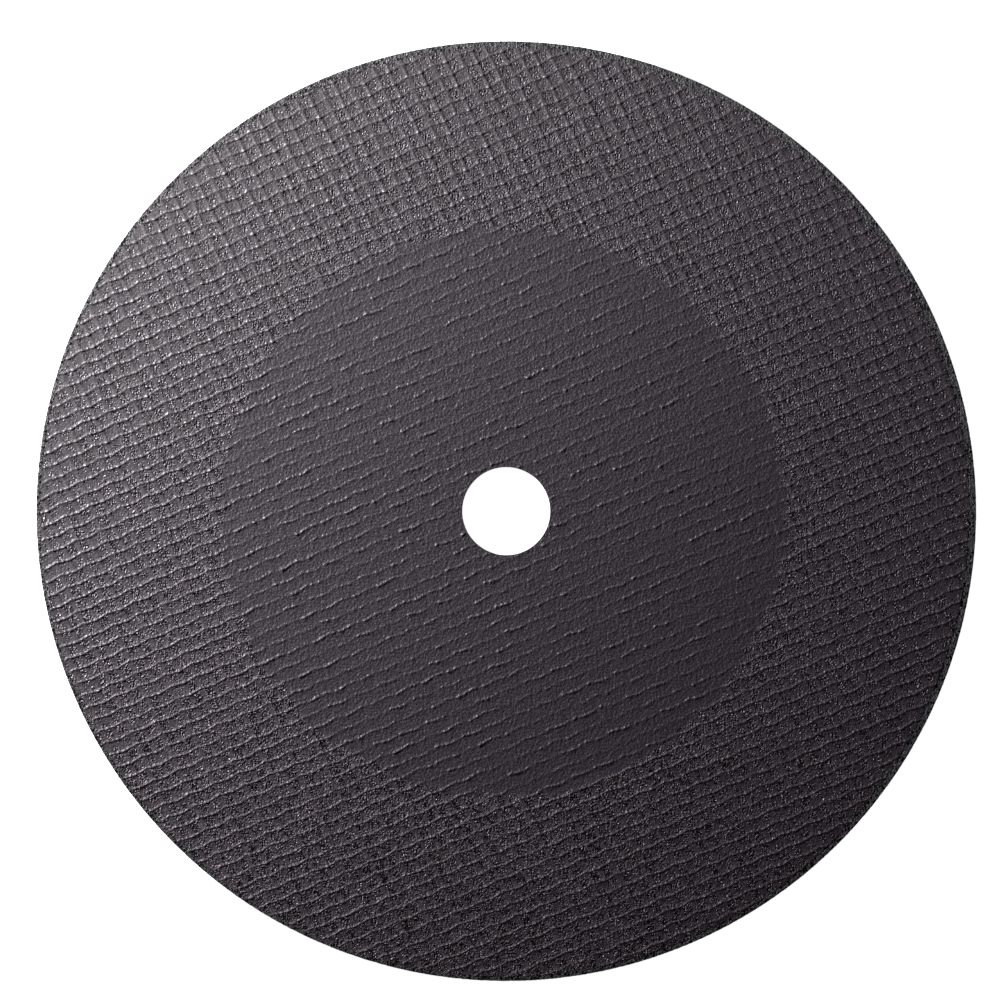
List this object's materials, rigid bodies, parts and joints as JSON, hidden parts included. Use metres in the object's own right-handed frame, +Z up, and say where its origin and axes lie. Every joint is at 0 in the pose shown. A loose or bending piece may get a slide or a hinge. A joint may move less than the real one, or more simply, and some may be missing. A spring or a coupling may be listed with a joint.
{
  "type": "cut off wheel",
  "caption": "Flat resin-bonded abrasive wheel with a cloth-textured face, a smoother middle and a plain arbor hole, for cutting metal or stone.",
  "frame": {"origin": "centre of the arbor hole on the lower face, which is the face the wheel lies on", "axes": "+Z up along the arbor axis, out of the upper face; +Y towards the top of the wheel as pictured and +X towards its right"},
  "size_m": [0.35, 0.35, 0.0035],
  "materials": {
    "bonded_abrasive": "dark grey resin-bonded grit pressed against cloth, matt with a faint sheen"
  },
  "bodies": {
    "root": {"wheel_disc": "bonded_abrasive"}
  },
  "joints": []
}
